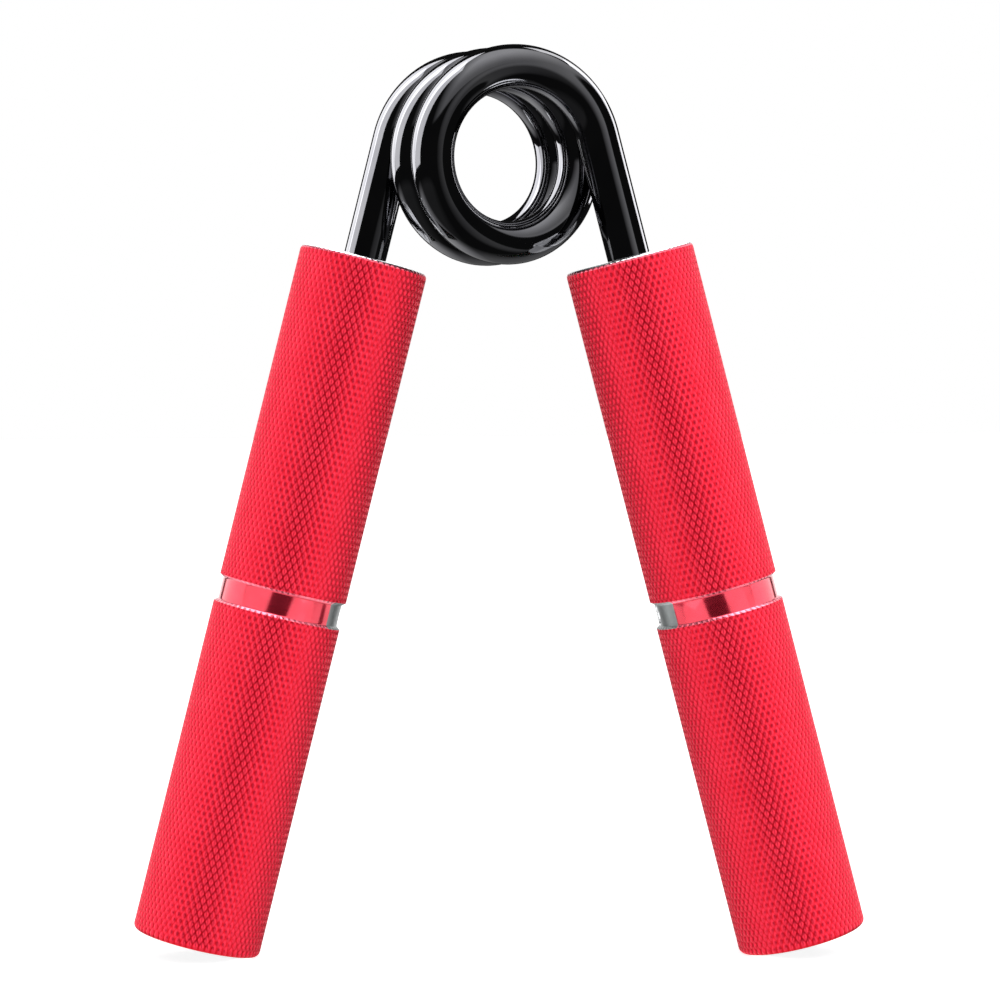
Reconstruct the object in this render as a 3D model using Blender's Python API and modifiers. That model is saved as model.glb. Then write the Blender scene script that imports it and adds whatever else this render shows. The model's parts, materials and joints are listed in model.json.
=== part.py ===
"""Hand grip strengthener: a torsion spring of thick wire whose two legs carry knurled metal grips.

Metres, +Z up. The origin is on the surface the grips stand on, under the middle of the coil.
The whole object looks the same after half a turn about Z, so both sides are made by one set of
functions: the left side is the palm side and holds the coil, the right side is the finger side.
Each side hangs from an empty on the hinge axis, which runs along Y through the coil's centre.
"""

import math

import bpy
from mathutils import Vector

# Driving dimensions
WIRE_RADIUS = 0.003125
COIL_MEAN_RADIUS = 0.0127
COIL_PITCH = 0.0070
LEG_ANGLE = math.radians(13.4)  # of each leg from the vertical, seen along the coil's own axis
GRIP_RADIUS = 0.0095
GRIP_LENGTH = 0.1036
GRIP_TOP = 0.0190  # from the foot of the hinge's perpendicular on the leg, along the leg
CORNER_RADIUS = 0.00085
BAND_DEPTH = 0.00055
BAND_FLOOR = 0.0032
BAND_WIDTH = 0.0040
TUBE_BORE_RADIUS = 0.0063
SEAT_RADIUS = 0.0075  # of the counterbore at each end of the tube
BUSH_HEAD = 0.0012
BUSH_LENGTH = 0.008
PLUG_HEAD = 0.0016
PLUG_LENGTH = 0.012
SLEEVE_END = 0.078  # the sleeve's lower end, below the grip's top face
LEG_END = 0.068  # the leg's lower end, below the grip's top face
SCREW_RADIUS = 0.00125
SCREW_LENGTH = 0.005
SOCKET_WIDTH = 0.0013  # across the flats
SOCKET_DEPTH = 0.0014
GAP = 0.0003  # between pieces that touch

# Worked out from them
BAND_AT = GRIP_LENGTH / 2
TURNS = 2 + (math.pi - 2 * LEG_ANGLE) / (2 * math.pi)
COIL_LENGTH = TURNS * COIL_PITCH
LEAD_ANGLE = math.atan(COIL_PITCH / (2 * math.pi * COIL_MEAN_RADIUS))
# The legs leave the coil along its tangent, so they keep its lead. Turned by this much about Z,
# the coil lets each leg and its grip lie in a plane at right angles to Y.
COIL_YAW = math.atan(math.tan(LEAD_ANGLE) / math.sin(LEG_ANGLE))
SPLAY = math.acos(math.cos(LEG_ANGLE) * math.cos(LEAD_ANGLE))
FITTED_RADIUS = TUBE_BORE_RADIUS - GAP
HEAD_RADIUS = SEAT_RADIUS - GAP
LEG_BORE_RADIUS = WIRE_RADIUS + GAP
SCREW_HOLE_RADIUS = SCREW_RADIUS + GAP
STUB = 0.0005  # straight end of the coil's wire, so that its end face meets the leg squarely

# Fineness
TUBE_SIDES = 48
INNER_SIDES = 24
COIL_STEPS_A_TURN = 32
CORNER_STEPS = 3
SHARP_ANGLE = math.radians(35)


def clear_scene():
    for obj in list(bpy.data.objects):
        bpy.data.objects.remove(obj, do_unlink=True)


def new_collection(name):
    collection = bpy.data.collections.new(name)
    bpy.context.scene.collection.children.link(collection)
    return collection


def material(name, colour, roughness, metallic):
    made = bpy.data.materials.new(name)
    made.use_nodes = True
    made.diffuse_color = (*colour, 1)
    shader = made.node_tree.nodes["Principled BSDF"]
    shader.inputs["Base Color"].default_value = (*colour, 1)
    shader.inputs["Roughness"].default_value = roughness
    shader.inputs["Metallic"].default_value = metallic
    return made


def new_empty(name, collection):
    empty = bpy.data.objects.new(name, None)
    empty.empty_display_size = GRIP_RADIUS
    collection.objects.link(empty)
    return empty


def place(obj, parent, location=(0, 0, 0), rotation=(0, 0, 0)):
    obj.parent = parent
    obj.location = location
    obj.rotation_euler = rotation
    return obj


def turned(name, collection, profile, closed, sides, finish=None):
    """A turned piece. The profile is (radius, depth) pairs that run down the outer side, and
    then, if it is closed, back up the inner side. Depth is measured down from the object's origin."""
    outline = bpy.data.meshes.new(f"{name}_outline")
    points = [(radius, 0, -depth) for radius, depth in profile]
    edges = [(i, i + 1) for i in range(len(points) - 1)]
    if closed:
        edges.append((len(points) - 1, 0))
    outline.from_pydata(points, edges, [])
    obj = bpy.data.objects.new(name, outline)
    collection.objects.link(obj)
    screw = obj.modifiers.new("turn", "SCREW")
    screw.steps = sides
    screw.render_steps = sides
    screw.use_merge_vertices = True
    screw.merge_threshold = 0.00001
    graph = bpy.context.evaluated_depsgraph_get()
    obj.data = bpy.data.meshes.new_from_object(obj.evaluated_get(graph))
    obj.modifiers.clear()
    bpy.data.meshes.remove(outline)
    obj.data.name = name
    obj.data.shade_smooth()
    obj.data.set_sharp_from_angle(angle=SHARP_ANGLE)
    if finish:
        obj.data.materials.append(finish)
    return obj


def corner(radius, depth, first, last):
    """Points of a rounded outer corner about the centre (radius, depth), from one angle to
    another. Angle 0 points outwards and a right angle points down."""
    angles = [first + (last - first) * i / CORNER_STEPS for i in range(CORNER_STEPS + 1)]
    return [
        (radius + CORNER_RADIUS * math.cos(a), depth + CORNER_RADIUS * math.sin(a))
        for a in angles
    ]


def cut(obj, name, cutter):
    cutter.hide_render = True
    cutter.display_type = "WIRE"
    boolean = obj.modifiers.new(name, "BOOLEAN")
    boolean.operation = "DIFFERENCE"
    boolean.solver = "EXACT"
    boolean.object = cutter


def grip_profile():
    floor = GRIP_RADIUS - BAND_DEPTH
    round_centre = GRIP_RADIUS - CORNER_RADIUS
    right_angle = math.pi / 2
    return [
        (SEAT_RADIUS, 0),
        *corner(round_centre, CORNER_RADIUS, -right_angle, 0),
        (GRIP_RADIUS, BAND_AT - BAND_WIDTH / 2),
        (floor, BAND_AT - BAND_FLOOR / 2),
        (floor, BAND_AT + BAND_FLOOR / 2),
        (GRIP_RADIUS, BAND_AT + BAND_WIDTH / 2),
        *corner(round_centre, GRIP_LENGTH - CORNER_RADIUS, 0, right_angle),
        (SEAT_RADIUS, GRIP_LENGTH),
        (SEAT_RADIUS, GRIP_LENGTH - PLUG_HEAD - GAP),
        (TUBE_BORE_RADIUS, GRIP_LENGTH - PLUG_HEAD - GAP),
        (TUBE_BORE_RADIUS, BUSH_HEAD + GAP),
        (SEAT_RADIUS, BUSH_HEAD + GAP),
    ]


def hinge_height():
    """The coil's centre stands this far above the lowest point of the splayed grips."""
    foot = hinge_foot().z
    return max(
        radius * math.sin(SPLAY) + (GRIP_TOP + depth) * math.cos(SPLAY) - foot
        for radius, depth in grip_profile()
    )


def coil_end():
    """Where the left leg leaves the coil, seen from the coil's centre."""
    across = -COIL_MEAN_RADIUS * math.cos(LEG_ANGLE)
    back = COIL_LENGTH / 2
    return Vector(
        (
            across * math.cos(COIL_YAW) - back * math.sin(COIL_YAW),
            across * math.sin(COIL_YAW) + back * math.cos(COIL_YAW),
            COIL_MEAN_RADIUS * math.sin(LEG_ANGLE),
        )
    )


def leg_direction():
    """The left leg's direction, downwards."""
    return Vector((-math.sin(SPLAY), 0, -math.cos(SPLAY)))


def leg_start():
    """From the foot of the hinge's perpendicular on the left leg to the coil's end."""
    end = coil_end()
    return Vector((end.x, 0, end.z)).dot(leg_direction())


def hinge_foot():
    """The foot of the hinge's perpendicular on the left leg, seen from the coil's centre."""
    return coil_end() - leg_start() * leg_direction()


def make_coil(collection, finish):
    """The turns, as one wire along a helix. The curve's own Z is the coil's axis, rear to front."""
    steps = round(TURNS * COIL_STEPS_A_TURN)
    points = []
    for step in range(steps + 1):
        angle = math.pi - LEG_ANGLE - 2 * math.pi * TURNS * step / steps
        along = COIL_LENGTH * (step / steps - 0.5)
        points.append(
            Vector((COIL_MEAN_RADIUS * math.cos(angle), COIL_MEAN_RADIUS * math.sin(angle), along))
        )
    start_direction = Vector(
        (
            math.sin(LEG_ANGLE) * math.cos(LEAD_ANGLE),
            math.cos(LEG_ANGLE) * math.cos(LEAD_ANGLE),
            math.sin(LEAD_ANGLE),
        )
    )
    end_direction = start_direction * Vector((1, -1, 1))
    points.insert(0, points[0] - STUB * start_direction)
    points.append(points[-1] + STUB * end_direction)
    curve = bpy.data.curves.new("spring_coil", "CURVE")
    curve.dimensions = "3D"
    curve.twist_mode = "Z_UP"
    curve.bevel_depth = WIRE_RADIUS
    curve.bevel_resolution = 2
    curve.use_fill_caps = True
    spline = curve.splines.new("POLY")
    spline.use_smooth = True
    spline.points.add(len(points) - 1)
    for target, point in zip(spline.points, points):
        target.co = (*point, 1)
    curve.materials.append(finish)
    coil = bpy.data.objects.new("spring_coil", curve)
    collection.objects.link(coil)
    return coil


def make_leg(side, collection, finish):
    top = GRIP_TOP - leg_start() - STUB - GAP
    chamfer = WIRE_RADIUS * 0.2
    profile = [
        (0, -top),
        (WIRE_RADIUS, -top),
        (WIRE_RADIUS, LEG_END - chamfer),
        (WIRE_RADIUS - chamfer, LEG_END),
        (0, LEG_END),
    ]
    return turned(f"spring_leg_{side}", collection, profile, False, INNER_SIDES, finish)


def make_tube(side, collection, finish):
    return turned(f"grip_tube_{side}", collection, grip_profile(), True, TUBE_SIDES, finish)


def make_bush(side, collection, finish):
    """A shouldered bush, flush with the grip's top face, that the leg goes down through."""
    lead_in = GAP
    profile = [
        (LEG_BORE_RADIUS + lead_in, 0),
        (HEAD_RADIUS, 0),
        (HEAD_RADIUS, BUSH_HEAD),
        (FITTED_RADIUS, BUSH_HEAD),
        (FITTED_RADIUS, BUSH_LENGTH),
        (LEG_BORE_RADIUS, BUSH_LENGTH),
        (LEG_BORE_RADIUS, lead_in),
    ]
    return turned(f"top_bush_{side}", collection, profile, True, INNER_SIDES, finish)


def make_sleeve(side, collection, finish):
    start = BUSH_LENGTH + GAP
    profile = [
        (LEG_BORE_RADIUS, start),
        (FITTED_RADIUS, start),
        (FITTED_RADIUS, SLEEVE_END),
        (LEG_BORE_RADIUS, SLEEVE_END),
    ]
    return turned(f"core_sleeve_{side}", collection, profile, True, INNER_SIDES, finish)


def make_plug(side, collection, finish):
    """A push-in plug: a flat head flush with the grip's end, and two barbs on its body."""
    head = GRIP_LENGTH - PLUG_HEAD
    end = GRIP_LENGTH - PLUG_LENGTH
    neck = FITTED_RADIUS * 0.9
    barb = (head - end) / 2
    profile = [(0, end)]
    for start in (end, end + barb):
        profile += [(neck, start), (FITTED_RADIUS, start + barb * 0.5), (neck, start + barb * 0.6)]
    profile += [(neck, head), (HEAD_RADIUS, head), (HEAD_RADIUS, GRIP_LENGTH), (0, GRIP_LENGTH)]
    return turned(f"end_plug_{side}", collection, profile, False, INNER_SIDES, finish)


def make_screw(side, collection, finish):
    """A headless screw with its point chamfered. Its own Z points out of the grip."""
    edge = SCREW_RADIUS * 0.2
    profile = [
        (0, 0),
        (SCREW_RADIUS - edge, 0),
        (SCREW_RADIUS, edge),
        (SCREW_RADIUS, SCREW_LENGTH - 2 * edge),
        (SCREW_RADIUS - 2 * edge, SCREW_LENGTH),
        (0, SCREW_LENGTH),
    ]
    return turned(f"set_screw_{side}", collection, profile, False, INNER_SIDES, finish)


def make_cylinder_cutter(name, collection, radius, start, end, sides):
    """A cutter along its own Z, from start to end."""
    profile = [(0, -end), (radius, -end), (radius, -start), (0, -start)]
    return turned(name, collection, profile, False, sides)


def build_handle(side, parent, parts, cutters, finishes):
    """The pieces of one grip and its leg of the spring, on an empty at the middle of the grip's
    top face. The empty's -Z runs down the grip and its +X points to the other grip."""
    handle = new_empty(f"{side}_handle", parts)
    place(handle, parent, hinge_foot() + GRIP_TOP * leg_direction(), (0, SPLAY, 0))
    leg = make_leg(side, parts, finishes["spring_steel"])
    tube = make_tube(side, parts, finishes["red_anodised"])
    bush = make_bush(side, parts, finishes["bright_metal"])
    sleeve = make_sleeve(side, parts, finishes["nylon"])
    plug = make_plug(side, parts, finishes["plug_plastic"])
    for piece in (leg, tube, bush, sleeve, plug):
        place(piece, handle)

    outwards = (0, math.pi / 2, 0)
    hole = make_cylinder_cutter(
        f"screw_hole_{side}",
        cutters,
        SCREW_HOLE_RADIUS,
        WIRE_RADIUS,
        GRIP_RADIUS + GAP,
        INNER_SIDES,
    )
    place(hole, handle, (0, 0, -BAND_AT), outwards)
    cut(tube, "screw hole", hole)
    cut(sleeve, "screw hole", hole)

    screw_top = (LEG_BORE_RADIUS + SCREW_LENGTH, 0, -BAND_AT)
    screw = make_screw(side, parts, finishes["screw_steel"])
    place(screw, handle, screw_top, outwards)
    socket = make_cylinder_cutter(
        f"screw_socket_{side}", cutters, SOCKET_WIDTH / math.sqrt(3), -SOCKET_DEPTH, SOCKET_DEPTH, 6
    )
    place(socket, handle, screw_top, outwards)
    cut(screw, "socket", socket)


def main():
    clear_scene()
    parts = new_collection("hand_grip_strengthener")
    cutters = new_collection("cutters")
    finishes = {
        "spring_steel": material("spring_steel", (0.015, 0.015, 0.017), 0.12, 1.0),
        "red_anodised": material("red_anodised", (0.72, 0.012, 0.04), 0.35, 0.8),
        "bright_metal": material("bright_metal", (0.80, 0.80, 0.81), 0.25, 1.0),
        "nylon": material("nylon", (0.75, 0.74, 0.70), 0.6, 0.0),
        "plug_plastic": material("plug_plastic", (0.02, 0.02, 0.022), 0.5, 0.0),
        "screw_steel": material("screw_steel", (0.10, 0.10, 0.11), 0.35, 1.0),
    }
    hinge = (0, 0, hinge_height())
    half_turn = (0, 0, math.pi)
    palm_side = place(new_empty("palm_side", parts), None, hinge)
    finger_side = place(new_empty("finger_side", parts), None, hinge, half_turn)
    coil = make_coil(parts, finishes["spring_steel"])
    place(coil, palm_side, rotation=(math.pi / 2, 0, COIL_YAW))
    build_handle("left", palm_side, parts, cutters, finishes)
    build_handle("right", finger_side, parts, cutters, finishes)


main()
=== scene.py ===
"""Looks of the hand grip strengthener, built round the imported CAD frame.

Metres, in the frame of the CAD: +Z up, +X from the left (palm) grip to the right (finger) grip.
The left side is the palm side. Every turned piece of a side is made in that side's handle frame:
its origin is in the middle of the grip's top face, its -Z runs down the grip and its +X points to
the other grip. "Depth" is the distance below the top face.
"""

import json
import math

import bpy
import numpy as np
from mathutils import Matrix, Vector


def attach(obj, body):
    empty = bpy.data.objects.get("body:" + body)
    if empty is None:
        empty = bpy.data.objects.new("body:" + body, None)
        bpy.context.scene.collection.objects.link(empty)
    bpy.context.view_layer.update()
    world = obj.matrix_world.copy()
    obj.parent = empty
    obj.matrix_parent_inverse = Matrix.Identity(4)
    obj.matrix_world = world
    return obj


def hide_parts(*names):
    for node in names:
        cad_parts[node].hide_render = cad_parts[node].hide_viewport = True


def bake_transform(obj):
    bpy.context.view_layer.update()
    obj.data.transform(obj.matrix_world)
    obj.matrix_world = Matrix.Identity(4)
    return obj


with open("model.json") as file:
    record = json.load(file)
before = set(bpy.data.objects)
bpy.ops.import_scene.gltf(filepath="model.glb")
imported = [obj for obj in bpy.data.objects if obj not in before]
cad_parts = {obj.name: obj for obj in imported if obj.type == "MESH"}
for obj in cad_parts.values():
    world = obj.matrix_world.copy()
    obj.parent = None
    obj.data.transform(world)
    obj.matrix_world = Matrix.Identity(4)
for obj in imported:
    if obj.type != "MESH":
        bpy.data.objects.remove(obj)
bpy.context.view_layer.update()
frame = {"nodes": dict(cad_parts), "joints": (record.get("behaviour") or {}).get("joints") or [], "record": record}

# The spring's wire
WIRE_RADIUS = 0.003125
COIL_MEAN_RADIUS = 0.0127
COIL_PITCH = 0.0070
LEG_ANGLE = math.radians(13.4)
LEG_END = 0.068  # depth of the wire's hidden end
WIRE_SIDES = 48
WIRE_CHAMFER = 0.15 * WIRE_RADIUS  # on its hidden ends
STEPS_A_TURN = 128
LEG_STEPS = 10

# The knurled grips
GRIP_RADIUS = 0.0095
GRIP_LENGTH = 0.1036
CORNER_RADIUS = 0.00085
CORNER_STEPS = 8
BARE_STRIPS = 5  # the top face and the first four steps of its corner
# The rim's next steps are painted a paler pink, a painted highlight.
HIGHLIGHT_STRIPS = 2  # the next two steps
BAND_DEPTH = 0.00055
BAND_WIDTH = 0.0040
# One side of the band's section, from the crests in to its flat floor:
# (height over the floor, distance from the band's middle)
BAND_SIDE = (
    (0.00051, 0.00197),
    (0.00008, 0.00166),
    (0.00002, 0.00158),
    (0.0, 0.00146),
)
SEAT_RADIUS = 0.0075
BORE_RADIUS = 0.0063
BUSH_SEAT_DEPTH = 0.0015
PLUG_SEAT_DEPTH = 0.0019
EDGE_BREAK = 0.00015  # the small chamfer on machined edges
KNURLS_ROUND = 64
KNURL_ROWS = 52  # on each half of a grip, even, so that both ends of a half line up
KNURL_DEPTH = 0.00038  # where two grooves cross
SADDLE_DEPTH = 0.00019  # half-way between two crossings
KNURL_CREST = 0.46  # the share of a diamond that its flat top takes, along each diagonal
GROOVE_RUN_OUT = 0.4  # the share of a groove's depth that cuts into the band's chamfers
BARE_HALF_ANGLE = math.radians(38)  # of the bare patch round the locking screw

# The small pieces
FIT_LINE = 0.00008  # the joint line that shows round a fitted piece
BUSH_LENGTH = 0.008
BUSH_HEAD = 0.0012  # the head's thickness
BUSH_GROOVE = 0.00012  # the depth of the ring groove in its face
PLUG_LENGTH = 0.012
PLUG_HEAD = 0.0016
PLUG_DISH = 0.0005  # the depth of the hollow in its face
PLUG_STEM_RADIUS = 0.0054
SCREW_RADIUS = 0.00125
SCREW_TOP = 0.008425  # from the grip's axis
SCREW_LENGTH = 0.005
HOLE_RADIUS = 0.00131
HOLE_MOUTH = 0.0016  # the radius of its countersunk mouth
HOLE_OUTSIDE = 0.0098  # the cutter's ends, from the grip's axis
HOLE_INSIDE = 0.0060
SCREW_CHAMFER = 0.14 * SCREW_RADIUS
THREAD_PITCH = 0.00045
THREAD_DEPTH = 0.00018
SOCKET_WIDTH = 0.0013
SOCKET_DEPTH = 0.0014
SOCKET_CHAMFER = 0.8 * SCREW_CHAMFER
SOCKET_CONE = 0.0002  # how far the drilled end goes below the flats
SHARP_ANGLE = math.radians(30)
FINE_SIDES = 96
SMALL_SIDES = 48

# The camera
CAMERA_AZIMUTH = math.radians(-5.66)
CAMERA_ELEVATION = math.radians(3.03)
CAMERA_ROLL = math.radians(-0.2825)
CAMERA_DISTANCE = 0.56156
TARGET_BELOW_HINGE = 0.060
LENS = 137.6
SENSOR_WIDTH = 36
CLIP = (0.01, 50)
SHIFT = (0.0023, 0.0668)

# The studio's light, as radiance, where 1 is the white of the background
CEILING_LOW = 0.36
CEILING_TOP = 1.2
WINDOW_GLOW = 0.5
TABLE_GLOW = 0.8
DARK_GLOW = 0.015
FLOOR_GLOW = 0.85
FLOOR_WHITENESS = 0.9
FLOOR_HALF_SIZE = 4.0
FLOOR_GAP = 0.00005  # below the grips' lower ends
SUN_ON_FLOOR = 0.25
SUN_ANGLE = math.radians(110)

# The softboxes: name, azimuth, elevation, distance, width, height, radiance, and what each lights:
# the wire, the left grip, the right grip or both grips. Azimuth 0 is where the camera is, and
# positive azimuths are to the right of it.
PANELS = (
    ("wire_left_front", -85, 35, 0.60, 0.44, 1.00, 2.4, "wire"),
    ("wire_left_rear", -119, 35, 0.60, 0.40, 1.00, 3.6, "wire"),
    ("wire_right", 124, 22, 0.60, 0.20, 0.60, 4.0, "wire"),
    ("wire_right_high", 138, 44, 0.60, 0.18, 0.40, 2.6, "wire"),
    ("grip_left", -102, 10, 0.60, 0.70, 0.80, 1.7, "left"),
    ("grip_right", 102, 10, 0.60, 0.70, 0.80, 1.7, "right"),
    ("fill_left", -45, 5, 0.70, 0.66, 0.90, 1.34, "both"),
    ("fill_right", 45, 5, 0.70, 0.66, 0.90, 1.34, "both"),
    ("inner_left", 95, 5, 0.60, 0.58, 0.80, 1.15, "left"),
    ("inner_right", -95, 5, 0.60, 0.58, 0.80, 1.15, "right"),
    ("card_behind", 180, 8, 0.60, 0.90, 0.60, 1.1, "both"),
    ("overhead", 0, 96, 0.70, 0.60, 0.48, 3.4, "both"),
    ("high_behind", 180, 50, 0.70, 0.60, 0.50, 1.9, "both"),
    ("from_table", 0, -80, 0.40, 1.20, 1.20, 0.9, "both"),
)

record = frame["record"]
joint = frame["joints"][0]
hinge = Vector(joint["pos_m"])
mounts = {mount["name"]: mount for mount in record["mounts"]}
SIDES = {"left": "palm_side", "right": "finger_side"}  # each side's body

TURNS = 2 + (math.pi - 2 * LEG_ANGLE) / (2 * math.pi)
COIL_LENGTH = TURNS * COIL_PITCH
LEAD_ANGLE = math.atan(COIL_PITCH / (2 * math.pi * COIL_MEAN_RADIUS))
COIL_YAW = math.atan(math.tan(LEAD_ANGLE) / math.sin(LEG_ANGLE))


def handle_frame(side):
    """The handle frame of one side, as a matrix."""
    mount = mounts[f"{side}_end_face"]
    down = Vector(mount["axis"]).normalized()
    top = Vector(mount["pos_m"]) - down * GRIP_LENGTH
    up = -down
    inward = Vector((-top.x, 0, 0))
    inward = (inward - inward.dot(up) * up).normalized()
    across = up.cross(inward)
    matrix = Matrix((inward, across, up)).transposed().to_4x4()
    matrix.translation = top
    return matrix


# ---------------------------------------------------------------- meshes


def new_object(name, vertices, faces, materials, face_materials=None, sharp=None, smooth=True):
    """A mesh object. sharp is a function of an edge's two vertex numbers."""
    mesh = bpy.data.meshes.new(name)
    mesh.from_pydata([tuple(v) for v in vertices], [], faces)
    for item in materials:
        mesh.materials.append(item)
    if face_materials is not None:
        mesh.polygons.foreach_set("material_index", np.asarray(face_materials, np.int32))
    if smooth:
        mesh.shade_smooth()
    if sharp is not None:
        edges = np.zeros(len(mesh.edges) * 2, np.int32)
        mesh.edges.foreach_get("vertices", edges)
        flags = sharp(*edges.reshape(-1, 2).T)
        attribute = mesh.attributes.new("sharp_edge", "BOOLEAN", "EDGE")
        attribute.data.foreach_set("value", flags)
    mesh.validate()
    mesh.update()
    obj = bpy.data.objects.new(name, mesh)
    bpy.context.scene.collection.objects.link(obj)
    return obj


def ring_quads(first, second, count):
    """Quads between two rings of vertices, given the number of each ring's first vertex."""
    return [
        (first + i, second + i, second + (i + 1) % count, first + (i + 1) % count)
        for i in range(count)
    ]


def turned(name, profile, sides, materials, closed=False, sharp=True):
    """A turned piece. The profile is (radius, depth) pairs that run down the outer side and, if it
    is closed, back up the inner side. Otherwise its two ends are closed with a cap."""
    angles = np.arange(sides) * 2 * math.pi / sides
    circle = np.stack([np.cos(angles), np.sin(angles)], 1)
    vertices = []
    for radius, depth in profile:
        ring = np.column_stack([circle * radius, np.full(sides, -depth)])
        vertices.extend(ring)
    faces = []
    gaps = len(profile) if closed else len(profile) - 1
    for gap in range(gaps):
        after = (gap + 1) % len(profile)
        faces += ring_quads(gap * sides, after * sides, sides)
    if not closed:
        faces.append(tuple(range(sides)))
        last = (len(profile) - 1) * sides
        faces.append(tuple(reversed(range(last, last + sides))))

    def round_the_piece(a, b):
        return a // sides == b // sides

    return new_object(name, vertices, faces, materials, None, round_the_piece if sharp else None)


def arc(radius, depth, size, first, last, steps):
    """Points of a round corner about (radius, depth); angle 0 points outwards, 90 degrees down."""
    return [
        (radius + size * math.cos(a), depth + size * math.sin(a))
        for a in (first + (last - first) * i / steps for i in range(steps + 1))
    ]


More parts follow.
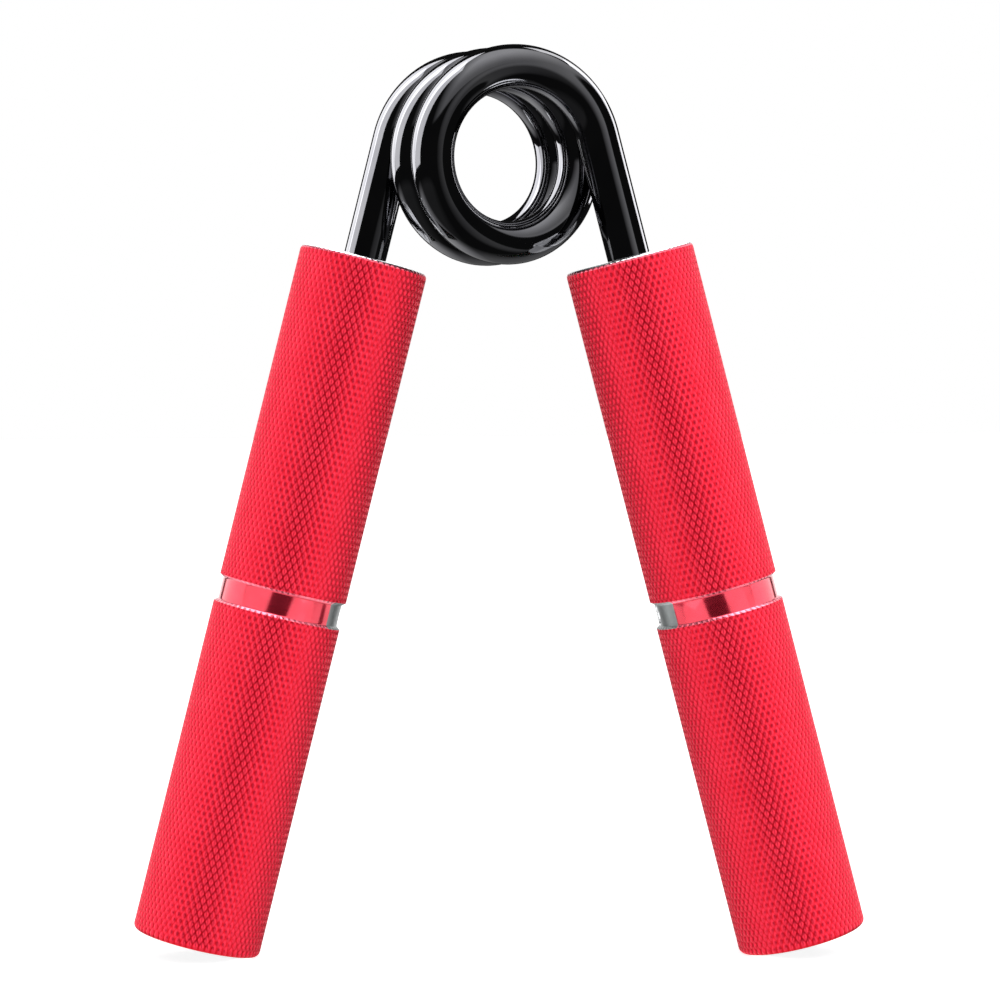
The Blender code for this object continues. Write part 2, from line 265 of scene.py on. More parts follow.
def knurled_grip(name, materials):
    """The grip as one closed turned solid. Its two knurled halves are rows of flat-topped diamonds.
    Their corners lie where two grooves cross, and the grooves rise to a saddle in between. Every
    other ring has three vertices a diamond, one in the groove and two on the crest, so that the
    grooves run out at the corners and the band."""
    red, polished, bare, patch, edge_highlight = range(5)
    step = 2 * math.pi / KNURLS_ROUND
    groove = GRIP_RADIUS - KNURL_DEPTH
    ridge = GRIP_RADIUS - SADDLE_DEPTH
    margin = (1 - KNURL_CREST) / 2
    sides = 3 * KNURLS_ROUND
    ring_angles = np.array([[k, k + margin, k + 1 - margin] for k in range(KNURLS_ROUND)]).ravel()
    ring_angles = ring_angles * step
    ring_limit = np.tile([groove, GRIP_RADIUS, GRIP_RADIUS], KNURLS_ROUND)
    vertices, faces, numbers, ring_of = [], [], [], []
    ring_is_sharp = []

    def add_vertex(radius, angle, depth, ring):
        vertices.append((radius * math.cos(angle), radius * math.sin(angle), -depth))
        ring_of.append(ring)
        return len(vertices) - 1

    def add_ring(radius, depth, sharp=False, groove_share=1.0):
        first = len(vertices)
        number = len(ring_is_sharp)
        ring_is_sharp.append(sharp)
        limited = np.minimum(GRIP_RADIUS - groove_share * (GRIP_RADIUS - ring_limit), radius)
        for r, a in zip(limited, ring_angles):
            add_vertex(r, a, depth, number)
        return first

    def join(first, second, material, with_patch=False):
        faces.extend(ring_quads(first, second, sides))
        if with_patch:
            centre = (ring_angles + np.roll(ring_angles, -1)) / 2
            centre[-1] = ring_angles[-1] / 2 + math.pi
            off = np.abs((centre + math.pi) % (2 * math.pi) - math.pi)
            numbers.extend(np.where(off < BARE_HALF_ANGLE, patch, material).tolist())
        else:
            numbers.extend([material] * sides)

    def slope(low, mid, low_after, high_after, high):
        """One side of a diamond, from its groove up to its flat top."""
        faces.extend(((low, mid, high), (mid, high_after, high), (mid, low_after, high_after)))

    def knurl(first, start, end):
        """Rows of diamonds from the ring that begins at vertex first to a new last ring."""
        pitch = (end - start) / KNURL_ROWS
        half = pitch * KNURL_CREST
        corner, inner, saddle = {}, {}, {}
        last_ring = None
        for row in range(KNURL_ROWS + 1):
            depth = start + row * pitch
            shift = (row % 2) / 2
            if row == KNURL_ROWS:
                last_ring = add_ring(GRIP_RADIUS, depth)
            for k in range(KNURLS_ROUND):
                if row in (0, KNURL_ROWS):
                    ring = first if row == 0 else last_ring
                    corner[row, k] = ring + 3 * k
                    left, right = ring + 3 * k + 1, ring + 3 * k + 2
                else:
                    corner[row, k] = add_vertex(groove, (k + shift) * step, depth, -1)
                    left = add_vertex(GRIP_RADIUS, (k + shift + margin) * step, depth, -1)
                    right = add_vertex(GRIP_RADIUS, (k + shift + 1 - margin) * step, depth, -1)
                if row < KNURL_ROWS:
                    for way in (-1, 1):
                        angle = (k + shift + way / 4) * step
                        saddle[row, k, way] = add_vertex(ridge, angle, depth + pitch / 2, -1)
                middle = (k + shift + 0.5) * step
                above = add_vertex(GRIP_RADIUS, middle, depth - half, -1) if row else None
                below = (
                    add_vertex(GRIP_RADIUS, middle, depth + half, -1) if row < KNURL_ROWS else None
                )
                inner[row, k] = (left, right, above, below)
        for row in range(KNURL_ROWS + 1):
            offset = row % 2  # of the neighbouring rows' corner that is in line with a diamond
            for k in range(KNURLS_ROUND):
                left, right, above, below = inner[row, k]
                c_left = corner[row, k]
                c_right = corner[row, (k + 1) % KNURLS_ROUND]
                in_line = (k + offset) % KNURLS_ROUND
                if row > 0:
                    c_above = corner[row - 1, in_line]
                    slope(c_above, saddle[row - 1, in_line, -1], c_left, left, above)
                    slope(c_right, saddle[row - 1, in_line, 1], c_above, above, right)
                if row < KNURL_ROWS:
                    c_below = corner[row + 1, in_line]
                    slope(c_left, saddle[row, k, 1], c_below, below, left)
                    slope(c_below, saddle[row, (k + 1) % KNURLS_ROUND, -1], c_right, right, below)
                top = [v for v in (left, below, right, above) if v is not None]
                faces.append(tuple(top))
        numbers.extend([red] * (len(faces) - len(numbers)))
        return last_ring

    right_angle = math.pi / 2
    corner_centre = GRIP_RADIUS - CORNER_RADIUS
    middle = GRIP_LENGTH / 2
    start = add_ring(SEAT_RADIUS + EDGE_BREAK, 0, True)
    last = start
    top_corner = arc(corner_centre, CORNER_RADIUS, CORNER_RADIUS, -right_angle, 0, CORNER_STEPS)
    for number, (radius, depth) in enumerate(top_corner):
        ring = add_ring(radius, depth)
        if number < BARE_STRIPS:
            join(last, ring, bare)
        elif number < BARE_STRIPS + HIGHLIGHT_STRIPS:
            # The shoulder below the bare steps gets the paler pink of a painted highlight.
            join(last, ring, edge_highlight)
        else:
            join(last, ring, red)
        last = ring
    last = knurl(last, CORNER_RADIUS, middle - BAND_WIDTH / 2)
    floor = GRIP_RADIUS - BAND_DEPTH
    band = [(floor + height, middle - away) for height, away in BAND_SIDE]
    band += [(floor + height, middle + away) for height, away in reversed(BAND_SIDE)]
    band.append((GRIP_RADIUS, middle + BAND_WIDTH / 2))
    chamfers = (1, len(BAND_SIDE) * 2 - 1)
    for number, (radius, depth) in enumerate(band):
        ring = add_ring(radius, depth, groove_share=GROOVE_RUN_OUT if radius < GRIP_RADIUS else 1.0)
        # The band's two chamfers get the paler pink of a painted highlight.
        join(last, ring, edge_highlight if number in chamfers else polished, with_patch=True)
        last = ring
    last = knurl(last, middle + BAND_WIDTH / 2, GRIP_LENGTH - CORNER_RADIUS)
    bottom_corner = arc(
        corner_centre, GRIP_LENGTH - CORNER_RADIUS, CORNER_RADIUS, 0, right_angle, CORNER_STEPS
    )
    for radius, depth in bottom_corner[1:]:
        ring = add_ring(radius, depth)
        join(last, ring, red)
        last = ring
    inside = [
        (SEAT_RADIUS + EDGE_BREAK, GRIP_LENGTH),
        (SEAT_RADIUS, GRIP_LENGTH - EDGE_BREAK),
        (SEAT_RADIUS, GRIP_LENGTH - PLUG_SEAT_DEPTH),
        (BORE_RADIUS, GRIP_LENGTH - PLUG_SEAT_DEPTH),
        (BORE_RADIUS, BUSH_SEAT_DEPTH),
        (SEAT_RADIUS, BUSH_SEAT_DEPTH),
        (SEAT_RADIUS, EDGE_BREAK),
    ]
    for radius, depth in inside:
        ring = add_ring(radius, depth, True)
        join(last, ring, bare)
        last = ring
    join(last, start, bare)
    ring_of = np.array(ring_of)
    marked = np.array([*ring_is_sharp, False])  # the last for the diamonds' own vertices, ring -1

    def sharp(a, b):
        return (ring_of[a] == ring_of[b]) & marked[ring_of[a]]

    return new_object(name, vertices, faces, materials, numbers, sharp)


def drill_screw_hole(obj, bare_finish):
    """Cuts the locking screw's hole along the handle's +X at the band, with a conical mouth, and
    bakes it into the mesh."""
    band_floor = GRIP_RADIUS - BAND_DEPTH
    profile = [
        (HOLE_MOUTH, -HOLE_OUTSIDE),
        (HOLE_MOUTH, -band_floor),
        (HOLE_RADIUS, -band_floor + HOLE_MOUTH - HOLE_RADIUS),
        (HOLE_RADIUS, -HOLE_INSIDE),
    ]
    cutter = turned("cutter", profile, SMALL_SIDES, [bare_finish], sharp=False)
    # Half a side's turn about its own axis keeps its corners off the bore's edges.
    cutter.matrix_world = (
        Matrix.Translation((0, 0, -GRIP_LENGTH / 2))
        @ Matrix.Rotation(math.pi / 2, 4, "Y")
        @ Matrix.Rotation(math.pi / SMALL_SIDES, 4, "Z")
    )
    boolean = obj.modifiers.new("hole", "BOOLEAN")
    boolean.operation = "DIFFERENCE"
    boolean.solver = "EXACT"
    boolean.object = cutter
    graph = bpy.context.evaluated_depsgraph_get()
    baked = bpy.data.meshes.new_from_object(obj.evaluated_get(graph))
    obj.modifiers.clear()
    obj.data = baked
    bpy.data.objects.remove(cutter)


def locking_screw(name, materials):
    """A headless screw whose own -Z is depth below its outer end, with a hexagon socket."""
    sides = SMALL_SIDES
    angles = np.arange(sides) * 2 * math.pi / sides
    to_flat = (angles % (math.pi / 3)) - math.pi / 6
    hexagon = SOCKET_WIDTH / 2 / np.cos(to_flat)
    one = np.ones(sides)
    thread = []
    crest = 2 * SCREW_CHAMFER
    point = SCREW_LENGTH - 3 * SCREW_CHAMFER  # where the thread ends and the point begins
    while crest + THREAD_PITCH < point:
        root = (SCREW_RADIUS - THREAD_DEPTH, crest + THREAD_PITCH / 2)
        thread += [(SCREW_RADIUS, crest), root]
        crest += THREAD_PITCH
    rings = [
        (one * SOCKET_WIDTH / 8, SOCKET_DEPTH + SOCKET_CONE),
        (hexagon, SOCKET_DEPTH),
        (hexagon, SOCKET_CHAMFER),
        (hexagon + SOCKET_CHAMFER, 0),
        (one * (SCREW_RADIUS - SCREW_CHAMFER), 0),
        (one * SCREW_RADIUS, SCREW_CHAMFER),
    ]
    rings += [(one * radius, depth) for radius, depth in thread]
    rings += [(one * SCREW_RADIUS, point), (one * SCREW_RADIUS / 2, SCREW_LENGTH)]
    vertices = []
    for radii, depth in rings:
        x, y = radii * np.cos(angles), radii * np.sin(angles)
        vertices.extend(np.column_stack([x, y, -depth * one]))
    faces = []
    for number in range(len(rings) - 1):
        faces += ring_quads(number * sides, (number + 1) * sides, sides)
    faces.append(tuple(range(sides)))
    last = (len(rings) - 1) * sides
    faces.append(tuple(reversed(range(last, last + sides))))
    obj = new_object(name, vertices, faces, materials)
    obj.data.set_sharp_from_angle(angle=SHARP_ANGLE)
    return obj


def spring_wire(name, materials):
    """The one-piece wire: left leg, turns and right leg, swept with a round section."""
    ends = {side: handle_frame(side) @ Vector((0, 0, -LEG_END)) for side in SIDES}
    steps = round(TURNS * STEPS_A_TURN)
    share = np.arange(steps + 1) / steps
    angle = math.pi - LEG_ANGLE - 2 * math.pi * TURNS * share
    along = COIL_LENGTH * (0.5 - share)
    x, z = COIL_MEAN_RADIUS * np.cos(angle), COIL_MEAN_RADIUS * np.sin(angle)
    turns = np.stack(
        [
            x * math.cos(COIL_YAW) - along * math.sin(COIL_YAW),
            x * math.sin(COIL_YAW) + along * math.cos(COIL_YAW),
            z,
        ],
        1,
    ) + np.array(hinge)
    leg = np.linspace(0, 1, LEG_STEPS + 1)[1:, None]
    left = turns[0] + (np.array(ends["left"]) - turns[0]) * leg
    right = turns[-1] + (np.array(ends["right"]) - turns[-1]) * leg
    path = np.concatenate([left[::-1], turns, right])
    tangent = np.gradient(path, axis=0)
    tangent /= np.linalg.norm(tangent, axis=1)[:, None]
    normal = np.cross(tangent[0], (0, 1, 0))
    angles = np.arange(WIRE_SIDES) * 2 * math.pi / WIRE_SIDES
    vertices = []
    stations = [
        (path[0], WIRE_RADIUS - WIRE_CHAMFER),
        (path[0] + tangent[0] * WIRE_CHAMFER, WIRE_RADIUS),
        *((point, WIRE_RADIUS) for point in path[1:-1]),
        (path[-1] - tangent[-1] * WIRE_CHAMFER, WIRE_RADIUS),
        (path[-1], WIRE_RADIUS - WIRE_CHAMFER),
    ]
    directions = [tangent[0], *tangent, tangent[-1]]
    for (point, radius), direction in zip(stations, directions):
        normal = normal - normal.dot(direction) * direction
        normal /= np.linalg.norm(normal)
        side = np.cross(direction, normal)
        vertices.extend(
            point + radius * (np.outer(np.cos(angles), normal) + np.outer(np.sin(angles), side))
        )
    faces = []
    for number in range(len(stations) - 1):
        faces += [
            tuple(reversed(quad))
            for quad in ring_quads(number * WIRE_SIDES, (number + 1) * WIRE_SIDES, WIRE_SIDES)
        ]
    faces.append(tuple(reversed(range(WIRE_SIDES))))
    last = (len(stations) - 1) * WIRE_SIDES
    faces.append(tuple(range(last, last + WIRE_SIDES)))

    def sharp(a, b):
        ring = a // WIRE_SIDES
        return (ring == b // WIRE_SIDES) & (np.minimum(ring, len(stations) - 1 - ring) < 2)

    return new_object(name, vertices, faces, materials, None, sharp)


# ---------------------------------------------------------------- materials


def add_node(tree, kind, inputs=(), **settings):
    """A shader node. inputs gives each socket a value, or the output that it is linked to."""
    made = tree.nodes.new(kind)
    for key, value in settings.items():
        setattr(made, key, value)
    for key, value in dict(inputs).items():
        if isinstance(value, bpy.types.NodeSocket):
            tree.links.new(value, made.inputs[key])
        else:
            made.inputs[key].default_value = value
    return made


class Shader:
    """A material's node tree with short calls for the nodes used here."""

    def __init__(self, name, **constants):
        self.material = bpy.data.materials.new(name)
        self.material.use_nodes = True
        self.tree = self.material.node_tree
        self.principled = self.tree.nodes["Principled BSDF"]
        for key, value in constants.items():
            self.principled.inputs[key.replace("_", " ")].default_value = value

    def node(self, kind, inputs=(), **settings):
        return add_node(self.tree, kind, inputs, **settings)

    def place(self):
        """The point's place in the object's own frame."""
        return self.node("ShaderNodeTexCoord").outputs["Object"]

    def stretched(self, place, scale):
        """The place with each of its axes multiplied by its own scale."""
        made = self.node("ShaderNodeVectorMath", {0: place, 1: scale}, operation="MULTIPLY")
        return made.outputs[0]

    def from_axis(self, place):
        """The distance from the object's own Z axis."""
        flat = self.stretched(place, (1, 1, 0))
        return self.node("ShaderNodeVectorMath", {0: flat}, operation="LENGTH").outputs["Value"]

    def noise(self, vector, scale, detail=2.0, roughness=0.5):
        """Soft noise round 0.5, with about scale lumps to the metre."""
        made = self.node(
            "ShaderNodeTexNoise",
            {"Vector": vector, "Scale": scale, "Detail": detail, "Roughness": roughness},
        )
        return made.outputs["Fac"]

    def ramp(self, value, low, high, to_low=0.0, to_high=1.0):
        """Goes from to_low, where the value is low, to to_high, where it is high."""
        inputs = {"Value": value, "From Min": low, "From Max": high}
        inputs.update({"To Min": to_low, "To Max": to_high})
        return self.node("ShaderNodeMapRange", inputs).outputs["Result"]

    def mix_colour(self, factor, a, b):
        """From colour a, where the factor is 0, to colour b."""
        # A Mix node's sockets 6 and 7, and its output 2, are those for colours.
        made = self.node("ShaderNodeMix", {"Factor": factor, 6: a, 7: b}, data_type="RGBA")
        return made.outputs[2]

    def bump(self, height, distance, strength):
        """The surface's normal, tilted by a height of 0 to 1 that stands for the distance."""
        inputs = {"Height": height, "Distance": distance, "Strength": strength}
        return self.node("ShaderNodeBump", inputs).outputs["Normal"]

    def set(self, name, value):
        """Links an output to one of the surface's sockets."""
        self.tree.links.new(value, self.principled.inputs[name])


def knurled_red():
    """Blasted and anodised red aluminium, with painted shade that makes the grooves a deeper red than the crests.
    """
    s = Shader("anodised_knurl", Metallic=0.85, Coat_Weight=0.08, Coat_Roughness=0.15)
    place = s.place()
    radius = s.from_axis(place)
    # Painted shade: this mask is 0 in the grooves, which take the deep red, and 1 on the crests.
    crest = s.ramp(radius, GRIP_RADIUS - 0.8 * KNURL_DEPTH, GRIP_RADIUS - 0.15 * KNURL_DEPTH)
    cloud = s.ramp(s.noise(place, 260, 3), 0.3, 0.7)
    high = s.mix_colour(cloud, (0.85, 0.025, 0.060, 1), (0.79, 0.018, 0.048, 1))
    s.set("Base Color", s.mix_colour(crest, (0.66, 0.0, 0.012, 1), high))
    s.set("Roughness", s.ramp(s.noise(place, 900, 2), 0, 1, 0.30, 0.42))
    s.set("Normal", s.bump(s.noise(place, 5200, 3, 0.6), 0.00001, 0.6))
    return s.material


def polished_red():
    """The turned and polished band, anodised over fine tool marks that run round it."""
    s = Shader("anodised_band", Metallic=0.9, Coat_Weight=1.0, Coat_Roughness=0.1)
    place = s.place()
    marks = s.noise(s.stretched(place, (60, 60, 9000)), 1.0, 3, 0.6)
    cloud = s.ramp(s.noise(place, 420, 2), 0.3, 0.7)
    s.set("Base Color", s.mix_colour(cloud, (0.80, 0.036, 0.075, 1), (0.73, 0.024, 0.055, 1)))
    s.set("Roughness", s.ramp(marks, 0.3, 0.7, 0.12, 0.2))
    s.set("Normal", s.bump(marks, 0.000004, 0.5))
    return s.material


def pale_edge_highlight():
    """The chamfers beside the band and the shoulder of the top rim, painted a paler pink as a
    highlight on these edges."""
    s = Shader("pale_edge_highlight", Metallic=0.9, Coat_Weight=0.3, Coat_Roughness=0.12)
    place = s.place()
    highlight_tone = s.ramp(s.noise(place, 650, 3), 0.3, 0.7)
    # Paler pink as a painted highlight; the noise only varies its tone.
    s.set("Base Color", s.mix_colour(highlight_tone, (0.90, 0.20, 0.27, 1), (0.88, 0.10, 0.16, 1)))
    marks = s.noise(s.stretched(place, (60, 60, 9000)), 1.0, 3, 0.6)
    s.set("Roughness", s.ramp(marks, 0.3, 0.7, 0.14, 0.24))
    s.set("Normal", s.bump(marks, 0.000004, 0.5))
    return s.material


def bare_aluminium():
    """Bare machined aluminium with fine concentric tool marks."""
    s = Shader("bare_aluminium", Metallic=1.0)
    place = s.place()
    radius = s.from_axis(place)
    turning = s.node("ShaderNodeCombineXYZ", {"X": radius}).outputs[0]
    marks = s.noise(s.stretched(turning, (11000, 1, 1)), 1.0, 3, 0.6)
    cloud = s.ramp(s.noise(place, 500, 3), 0.3, 0.7)
    s.set("Base Color", s.mix_colour(cloud, (0.80, 0.81, 0.82, 1), (0.70, 0.71, 0.72, 1)))
    s.set("Roughness", s.ramp(marks, 0.3, 0.7, 0.13, 0.24))
    s.set("Normal", s.bump(marks, 0.000003, 0.4))
    return s.material


def milled_patch():
    """The patch milled through the anodising, duller than the turned faces, its dark grey base colour painted
    shade.
    """
    s = Shader("milled_patch", Metallic=1.0)
    place = s.place()
    marks = s.noise(s.stretched(place, (400, 400, 12000)), 1.0, 3, 0.6)
    cloud = s.ramp(s.noise(place, 700, 3), 0.3, 0.7)
    # Painted shade: milled aluminium is pale, and this dark grey stands in for the dim light it reflects.
    s.set("Base Color", s.mix_colour(cloud, (0.35, 0.37, 0.37, 1), (0.30, 0.32, 0.32, 1)))
    s.set("Roughness", s.ramp(marks, 0.3, 0.7, 0.30, 0.42))
    s.set("Normal", s.bump(marks, 0.000005, 0.5))
    return s.material


def black_chrome():
    """Gloss black plated wire, with a faint ripple of the drawn steel under it."""
    s = Shader("black_chrome", Metallic=1.0)
    place = s.place()
    film = s.ramp(s.noise(place, 180, 3), 0.3, 0.7)
    s.set("Base Color", s.mix_colour(film, (0.17, 0.17, 0.185, 1), (0.21, 0.21, 0.22, 1)))
    s.set("Roughness", s.ramp(s.noise(place, 1400, 3, 0.6), 0.3, 0.7, 0.035, 0.075))
    ripple = s.noise(place, 420, 1)
    s.set("Normal", s.bump(ripple, 0.00002, 0.12))
    return s.material


def moulded_black():
    """Moulded black plastic with a fine matt grain."""
    s = Shader("moulded_black", Metallic=0.0)
    place = s.place()
    cloud = s.ramp(s.noise(place, 600, 3), 0.3, 0.7)
    s.set("Base Color", s.mix_colour(cloud, (0.020, 0.020, 0.022, 1), (0.034, 0.034, 0.036, 1)))
    s.set("Roughness", s.ramp(s.noise(place, 2500, 2), 0.3, 0.7, 0.42, 0.6))
    s.set("Normal", s.bump(s.noise(place, 6000, 2), 0.00001, 0.5))
    return s.material


def black_oxide():
    """Blackened steel."""
    s = Shader("black_oxide", Metallic=1.0)
    place = s.place()
    cloud = s.ramp(s.noise(place, 1500, 3), 0.3, 0.7)
    s.set("Base Color", s.mix_colour(cloud, (0.09, 0.09, 0.095, 1), (0.16, 0.155, 0.15, 1)))
    s.set("Roughness", s.ramp(s.noise(place, 4000, 2), 0.3, 0.7, 0.28, 0.42))
    s.set("Normal", s.bump(s.noise(place, 9000, 2), 0.000004, 0.5))
    return s.material


def natural_nylon():
    """Undyed nylon, slightly translucent."""
    s = Shader("natural_nylon", Metallic=0.0, Subsurface_Weight=0.1, Subsurface_Scale=0.001)
    place = s.place()
    cloud = s.ramp(s.noise(place, 300, 3), 0.3, 0.7)
    s.set("Base Color", s.mix_colour(cloud, (0.74, 0.72, 0.66, 1), (0.80, 0.79, 0.74, 1)))
    s.set("Roughness", s.ramp(s.noise(place, 1800, 2), 0.3, 0.7, 0.45, 0.6))
    s.set("Normal", s.bump(s.noise(place, 4000, 2), 0.00001, 0.4))
    return s.material


# ---------------------------------------------------------------- studio


def add_camera():
    """A long lens, a little to the left of the front."""
    back = Vector(
        (
            math.sin(CAMERA_AZIMUTH) * math.cos(CAMERA_ELEVATION),
            -math.cos(CAMERA_AZIMUTH) * math.cos(CAMERA_ELEVATION),
            math.sin(CAMERA_ELEVATION),
        )
    )
    right = Vector((0, 0, 1)).cross(back).normalized()
    up = back.cross(right)
    rolled_right = math.cos(CAMERA_ROLL) * right + math.sin(CAMERA_ROLL) * up
    rolled_up = math.cos(CAMERA_ROLL) * up - math.sin(CAMERA_ROLL) * right
    data = bpy.data.cameras.new("camera")
    data.lens = LENS
    data.sensor_width = SENSOR_WIDTH
    data.shift_x, data.shift_y = SHIFT
    data.clip_start, data.clip_end = CLIP
    camera = bpy.data.objects.new("camera", data)
    matrix = Matrix((rolled_right, rolled_up, back)).transposed().to_4x4()
    matrix.translation = hinge - Vector((0, 0, TARGET_BELOW_HINGE)) + back * CAMERA_DISTANCE
    camera.matrix_world = matrix
    bpy.context.scene.collection.objects.link(camera)
    bpy.context.scene.camera = camera


def add_panel(name, azimuth, elevation, distance, width, height, radiance, only):
    """A softbox that looks at the middle of the object and lights only the collection given."""
    a = CAMERA_AZIMUTH + math.radians(azimuth)
    e = math.radians(elevation)
    back = Vector((math.sin(a) * math.cos(e), -math.cos(a) * math.cos(e), math.sin(e)))
    data = bpy.data.lights.new(name, "AREA")
    data.shape = "RECTANGLE"
    data.size, data.size_y = width, height
    data.energy = radiance * math.pi * width * height
    panel = bpy.data.objects.new(name, data)
    centre = hinge - Vector((0, 0, TARGET_BELOW_HINGE))
    panel.matrix_world = Matrix.Translation(centre + back * distance) @ (
        back.to_track_quat("Z", "Y").to_matrix().to_4x4()
    )
    panel.visible_camera = False
    bpy.context.scene.collection.objects.link(panel)
    panel.light_linking.receiver_collection = only


def add_sun(only):
    """Soft even light from above, which whitens the floor and leaves a faint shadow."""
    data = bpy.data.lights.new("soft_sun", "SUN")
    data.angle = SUN_ANGLE
    data.energy = SUN_ON_FLOOR * math.pi / FLOOR_WHITENESS
    sun = bpy.data.objects.new("soft_sun", data)
    sun.visible_camera = False
    bpy.context.scene.collection.objects.link(sun)
    sun.light_linking.receiver_collection = only


def add_world():
    """White to the camera. To the object it is a dark studio: a ceiling that grows brighter
    upwards, a soft window to the right of the camera, and a pale table low down and behind."""
    world = bpy.data.worlds.new("studio")
    world.use_nodes = True
    tree = world.node_tree
    tree.nodes.clear()

    def ramp(value, low, high, to_low, to_high):
        inputs = {"Value": value, "From Min": low, "From Max": high}
        inputs.update({"To Min": to_low, "To Max": to_high})
        return add_node(tree, "ShaderNodeMapRange", inputs).outputs[0]

    def maths(operation, a, b=0.0):
        return add_node(tree, "ShaderNodeMath", {0: a, 1: b}, operation=operation).outputs[0]

    def product(first, *others):
        for other in others:
            first = maths("MULTIPLY", first, other)
        return first

    direction = add_node(tree, "ShaderNodeTexCoord").outputs["Generated"]

    def along(axis):
        inputs = {0: direction, 1: axis}
        made = add_node(tree, "ShaderNodeVectorMath", inputs, operation="DOT_PRODUCT")
        return made.outputs["Value"]

    # How far a direction points to the right, to the camera and up, each from -1 to 1.
    sine, cosine = math.sin(CAMERA_AZIMUTH), math.cos(CAMERA_AZIMUTH)
    right, front, up = along((cosine, sine, 0)), along((sine, -cosine, 0)), along((0, 0, 1))
    high = maths("POWER", ramp(up, 0.3, 0.95, 0, 1), 2.0)
    ceiling = product(
        ramp(high, 0, 1, CEILING_LOW, CEILING_TOP),
        ramp(up, 0.24, 0.30, 0, 1),
        ramp(right, -0.45, 0.0, 0, 1),
        ramp(right, 0.80, 0.84, 1, 0),
        ramp(front, -0.28, -0.20, 0, 1),
    )
    window = product(
        ramp(right, 0.34, 0.80, 0, WINDOW_GLOW),
        ramp(right, 0.81, 0.83, 1, 0),
        ramp(front, 0.0, 0.1, 0, 1),
        ramp(up, -0.1, 0.1, 0.3, 1),
        ramp(maths("ABSOLUTE", up), 0.55, 0.75, 1, 0),
    )
    table = product(
        ramp(up, -0.45, -0.30, 1, 0),
        ramp(front, -0.45, 0.1, TABLE_GLOW, 0.05),
        ramp(right, -0.35, 0.0, 1, 0.3),
    )
    glow = maths("MAXIMUM", ceiling, window)
    glow = maths("MAXIMUM", glow, maths("MAXIMUM", table, DARK_GLOW))
    seen = add_node(tree, "ShaderNodeLightPath").outputs["Is Camera Ray"]
    strength = maths("MAXIMUM", glow, seen)
    inputs = {"Color": (1, 1, 1, 1), "Strength": strength}
    light = add_node(tree, "ShaderNodeBackground", inputs)
    add_node(tree, "ShaderNodeOutputWorld", {"Surface": light.outputs[0]})
    bpy.context.scene.world = world


def add_floor():
    """A plain pale floor, white to the camera apart from the faint shadow on it."""
    size = FLOOR_HALF_SIZE
    s = Shader(
        "pale_floor",
        Base_Color=(FLOOR_WHITENESS, FLOOR_WHITENESS, FLOOR_WHITENESS, 1),
        Roughness=0.9,
        Emission_Color=(1, 1, 1, 1),
        Emission_Strength=FLOOR_GLOW,
    )
    outline = [(-size, -size), (size, -size), (size, size), (-size, size)]
    corners = [(x, y, -FLOOR_GAP) for x, y in outline]
    floor = new_object("floor", corners, [(0, 1, 2, 3)], [s.material], smooth=False)
    floor.visible_glossy = False
    floor.visible_shadow = False
    return floor


# ---------------------------------------------------------------- assembly


def bush_profile():
    """The bush's section: a head that fills the grip's seat and a body in its bore."""
    bore = WIRE_RADIUS + FIT_LINE
    head = SEAT_RADIUS - FIT_LINE
    body = BORE_RADIUS - FIT_LINE
    return [
        # the lead-in for the wire, and the face with its ring groove
        (bore + 0.00035, 0.00004),
        (bore + 0.0007, 0),
        (head - 0.0016, 0),
        (head - 0.0014, BUSH_GROOVE),
        (head - 0.0011, BUSH_GROOVE),
        (head - 0.0009, 0),
        (head - EDGE_BREAK, 0),
        # the head's side and underside, and the body
        (head, EDGE_BREAK),
        (head, BUSH_HEAD),
        (body, BUSH_HEAD),
        (body, BUSH_LENGTH),
        (bore, BUSH_LENGTH),
        (bore, 0.0004),
    ]


def plug_profile():
    """The end plug's section, from its hidden inner end to the middle of its face."""
    head = SEAT_RADIUS - FIT_LINE
    rib = BORE_RADIUS - FIT_LINE
    inner_end = GRIP_LENGTH - PLUG_LENGTH
    face = GRIP_LENGTH
    return [
        # the stem, with a barbed rib at either end that holds in the bore
        (0.0022, inner_end),
        (0.0052, inner_end),
        (rib, inner_end + 0.0026),
        (PLUG_STEM_RADIUS, inner_end + 0.0032),
        (PLUG_STEM_RADIUS, face - 0.0068),
        (rib, face - 0.0042),
        (PLUG_STEM_RADIUS, face - 0.0036),
        (PLUG_STEM_RADIUS, face - PLUG_HEAD),
        # the head
        (head, face - PLUG_HEAD),
        (head, face - 0.0004),
        (head - 0.0004, face),
        (head - 0.0015, face),
        # the dished face, with a raised ring round the gate's pit
        (head - 0.0019, face - PLUG_DISH),
        (0.0021, face - PLUG_DISH),
        (0.0019, face - 0.0003),
        (0.0009, face - 0.0003),
        (0.0006, face - 0.0008),
    ]


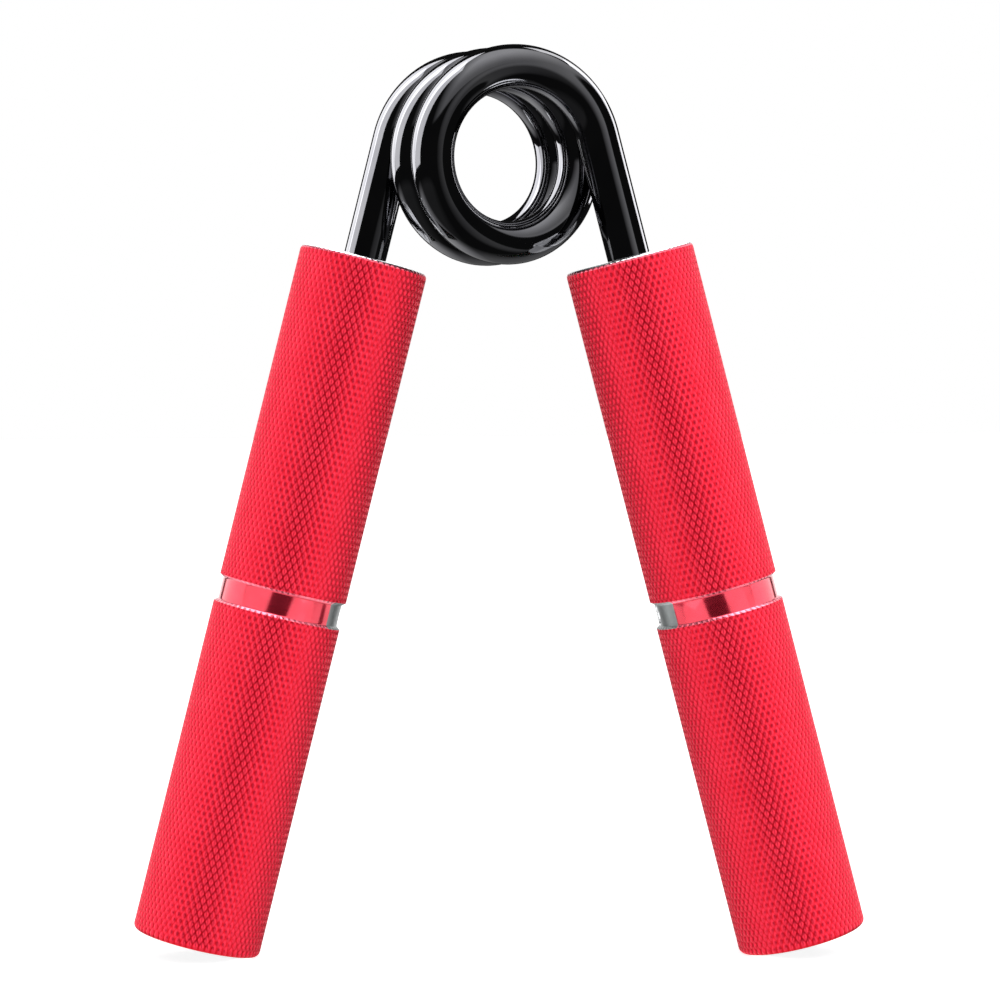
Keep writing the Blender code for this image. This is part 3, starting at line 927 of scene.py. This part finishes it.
def build_side(side, finishes, grip_mesh):
    """The pieces of one side, each in its handle frame."""
    body = SIDES[side]
    matrix = handle_frame(side)
    grip = bpy.data.objects.new(f"knurled_grip_{side}", grip_mesh)
    bpy.context.scene.collection.objects.link(grip)
    grip.visible_glossy = False  # so that the black wire mirrors the studio and no red
    bare, moulded = [finishes["bare"]], [finishes["plug"]]
    bush = turned(f"turned_bush_{side}", bush_profile(), FINE_SIDES, bare, closed=True)
    plug = turned(f"end_plug_moulding_{side}", plug_profile(), FINE_SIDES, moulded)
    screw = locking_screw(f"hex_locking_screw_{side}", [finishes["screw"]])
    for piece in (grip, bush, plug):
        piece.matrix_world = matrix
    screw.matrix_world = (
        matrix
        @ Matrix.Translation((SCREW_TOP, 0, -GRIP_LENGTH / 2))
        @ Matrix.Rotation(math.pi / 2, 4, "Y")
    )
    replaced = (
        (grip, f"grip_tube_{side}", "red_anodised"),
        (bush, f"top_bush_{side}", "bright_metal"),
        (plug, f"end_plug_{side}", "plug_plastic"),
        (screw, f"set_screw_{side}", "screw_steel"),
    )
    for piece, node, slot in replaced:
        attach(piece, body)
        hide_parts(node)
    sleeve = frame["nodes"][f"core_sleeve_{side}"]
    for slot in sleeve.material_slots:
        slot.material = finishes["sleeve"]
    return [grip, bush, plug, screw]


def receivers(name, objects):
    """A collection outside the scene that says which objects a light falls on."""
    collection = bpy.data.collections.new(name)
    for obj in objects:
        collection.objects.link(obj)
    return collection


def main():
    """Makes the pieces, each on its body, and the studio round them."""
    bpy.context.scene.view_settings.view_transform = "Standard"
    add_camera()
    finishes = {
        "knurl": knurled_red(),
        "band": polished_red(),
        "bare": bare_aluminium(),
        "patch": milled_patch(),
        "edge_highlight": pale_edge_highlight(),
        "wire": black_chrome(),
        "plug": moulded_black(),
        "screw": black_oxide(),
        "sleeve": natural_nylon(),
    }
    grip_finishes = [finishes[name] for name in ("knurl", "band", "bare", "patch", "edge_highlight")]
    master = knurled_grip("grip", grip_finishes)
    drill_screw_hole(master, finishes["bare"])
    grip_mesh = master.data
    bpy.data.objects.remove(master)
    left = build_side("left", finishes, grip_mesh)
    right = build_side("right", finishes, grip_mesh.copy())
    wire = spring_wire("spring_wire", [finishes["wire"]])
    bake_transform(wire)
    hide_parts("spring_coil", "spring_leg_left", "spring_leg_right")

    floor = add_floor()
    add_world()
    lit = {
        "both": receivers("lit_grips", left + right),
        "left": receivers("lit_left_grip", left),
        "right": receivers("lit_right_grip", right),
        "wire": receivers("lit_wire", [wire]),
    }
    for *panel, target in PANELS:
        add_panel(*panel, lit[target])
    add_sun(receivers("lit_from_above", [*left, *right, floor]))


main()
